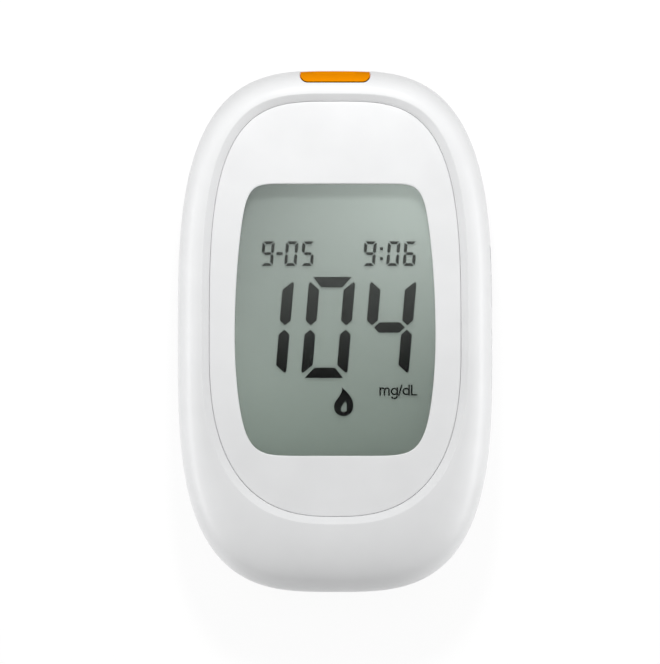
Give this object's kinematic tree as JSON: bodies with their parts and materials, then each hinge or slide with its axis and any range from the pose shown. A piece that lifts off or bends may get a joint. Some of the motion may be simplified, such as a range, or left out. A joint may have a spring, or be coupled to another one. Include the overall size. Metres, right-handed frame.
{
  "type": "blood glucose meter",
  "caption": "Hand-held blood glucose meter: white oval housing, recessed plate with a barrel-shaped display, orange strip port, side keys, ejector and hinged battery cover.",
  "frame": {"origin": "under the middle of the back, on the surface that the meter lies on", "axes": "+Z out of the display, +Y along the length towards the strip port, +X to the reader's right"},
  "size_m": [0.0574, 0.095, 0.022],
  "materials": {
    "housing_white": "smooth moulded, semi-gloss",
    "plate_white": "smooth moulded, gloss",
    "tape": "double-sided tape",
    "window_clear": "clear acrylic",
    "foam_black": "closed-cell foam",
    "orange_plastic": "moulded, semi-gloss",
    "polarizer_film": "grey-green film",
    "lcd_glass": "thin glass",
    "lcd_ink": "dark segments",
    "reflector_film": "satin grey-green film",
    "inner_plastic": "moulded, matt",
    "zebra_rubber": "layered rubber",
    "board_green": "solder resist",
    "chip_black": "moulded epoxy",
    "nickel_can": "nickel",
    "passives": "ceramic",
    "buzzer_black": "moulded, matt",
    "connector_ivory": "moulded, matt",
    "gold_contact": "gold flash",
    "switch_black": "moulded, matt",
    "screw_steel": "zinc",
    "nickel_sheet": "nickel on steel",
    "cell_jacket": "printed jacket",
    "spring_steel": "spring wire",
    "key_grey": "moulded, semi-gloss",
    "plunger_brown": "moulded, matt"
  },
  "bodies": {
    "meter": {"rear_housing": "housing_white", "front_housing": "housing_white", "face_plate": "plate_white", "plate_adhesive": "tape", "display_window": "window_clear", "window_gasket": "foam_black", "strip_port": "orange_plastic", "lcd_polarizer": "polarizer_film", "lcd_front_glass": "lcd_glass", "lcd_segments": "lcd_ink", "lcd_rear_glass": "lcd_glass", "lcd_reflector": "reflector_film", "lcd_holder": "inner_plastic", "zebra_strip": "zebra_rubber", "main_board": "board_green", "microcontroller": "chip_black", "measuring_chip": "chip_black", "crystal": "nickel_can", "chip_passives": "passives", "buzzer": "buzzer_black", "strip_connector": "connector_ivory", "strip_contacts": "gold_contact", "memory_switch": "switch_black", "set_switch": "switch_black", "housing_screws": "screw_steel", "battery_plus_contact": "nickel_sheet", "battery_minus_contact": "nickel_sheet", "battery_bridge_contact": "nickel_sheet", "battery_left": "cell_jacket", "battery_right": "cell_jacket", "ejector_spring": "spring_steel"},
    "cover": {"battery_cover": "housing_white"},
    "ejector": {"ejector_slider": "orange_plastic", "ejector_pusher": "inner_plastic"},
    "memory_button": {"memory_key": "key_grey", "memory_plunger": "plunger_brown"},
    "set_button": {"set_key": "key_grey", "set_plunger": "plunger_brown"}
  },
  "joints": [
    {"name": "cover_hinge", "type": "hinge", "parent": "meter", "child": "cover", "pos_m": [0, -0.0408, 0.00015], "axis": [-1, 0, 0], "range_deg": [0, 75]},
    {"name": "ejector_slide", "type": "slide", "parent": "meter", "child": "ejector", "axis": [0, 1, 0], "range_m": [0, 0.0045], "stiffness_N_per_m": 150, "springref_m": -0.002, "deforming": ["ejector_spring"]},
    {"name": "memory_press", "type": "slide", "parent": "meter", "child": "memory_button", "axis": [-1, 0, 0], "range_m": [0, 0.0004], "stiffness_N_per_m": 1500, "springref_m": -0.0003},
    {"name": "set_press", "type": "slide", "parent": "meter", "child": "set_button", "axis": [-1, 0, 0], "range_m": [0, 0.0004], "stiffness_N_per_m": 1500, "springref_m": -0.0003}
  ]
}
